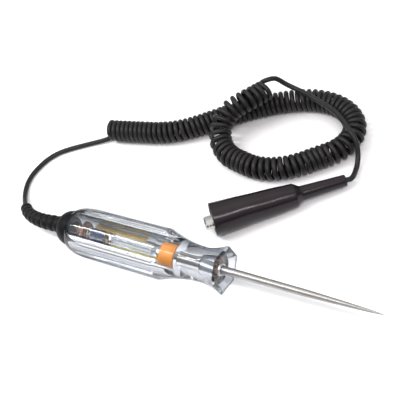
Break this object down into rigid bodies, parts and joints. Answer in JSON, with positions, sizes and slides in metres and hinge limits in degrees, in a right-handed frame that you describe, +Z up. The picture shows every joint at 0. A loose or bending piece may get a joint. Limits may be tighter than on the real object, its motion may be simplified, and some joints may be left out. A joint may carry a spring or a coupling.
{
  "type": "circuit test light",
  "caption": "Circuit test light with a clear fluted handle, steel probe, internal lamp, curly lead and a booted alligator clip.",
  "frame": {"origin": "on the bench, under the middle of the tool from its end cap to its probe tip", "axes": "+X along the tool towards the probe tip, +Y towards the side where the lead and the clip lie, +Z up"},
  "size_m": [0.2474, 0.1573, 0.0289],
  "materials": {
    "clear_handle": "clear polished acetate",
    "nickel_steel": "satin nickel plating",
    "pale_bush": "bright turned",
    "orange_socket": "moulded orange plastic",
    "brass_contact": "pressed brass",
    "lamp_glass": "clear glass tube",
    "blue_sleeve": "dark blue sleeve",
    "green_board": "yellow-green laminate",
    "spring_steel": "bright spring wire",
    "copper_terminal": "bare copper",
    "black_cap": "fine satin black",
    "relief_rubber": "ribbed black rubber",
    "lead_vinyl": "satin black vinyl",
    "boot_vinyl": "glossy soft black vinyl",
    "clip_steel": "bright zinc plate"
  },
  "bodies": {
    "tool": {"handle_shell": "clear_handle", "probe": "nickel_steel", "probe_bush": "pale_bush", "lamp_socket": "orange_socket", "front_contact": "brass_contact", "lamp_front_cap": "nickel_steel", "lamp_glass": "lamp_glass", "lamp_filament": "nickel_steel", "lamp_rear_cap": "nickel_steel", "rear_contact": "brass_contact", "insulating_sleeve": "blue_sleeve", "contact_strip": "brass_contact", "circuit_board": "green_board", "contact_spring": "spring_steel", "wire_terminal": "copper_terminal", "inner_lead": "lead_vinyl", "strain_relief": "relief_rubber", "rear_lead": "lead_vinyl", "curly_lead": "lead_vinyl", "front_lead": "lead_vinyl", "clip_boot": "boot_vinyl", "clip_fixed_jaw": "clip_steel", "clip_pivot_pin": "clip_steel", "clip_spring": "spring_steel", "clip_tail_lead": "lead_vinyl"},
    "cap": {"end_cap": "black_cap"},
    "jaw": {"clip_moving_jaw": "clip_steel"}
  },
  "joints": [
    {"name": "cap_thread", "type": "hinge", "parent": "tool", "child": "cap", "pos_m": [-0.09, 0, 0.014], "axis": [-1, 0, 0], "range_deg": [0, 1080]},
    {"name": "clip_jaw", "type": "hinge", "parent": "tool", "child": "jaw", "pos_m": [0.00701, 0.04963, 0.00711], "axis": [-0.6574, 0.7536, 0], "range_deg": [0, 12], "stiffness_Nm_per_rad": 0.02, "springref_deg": -17.19}
  ]
}
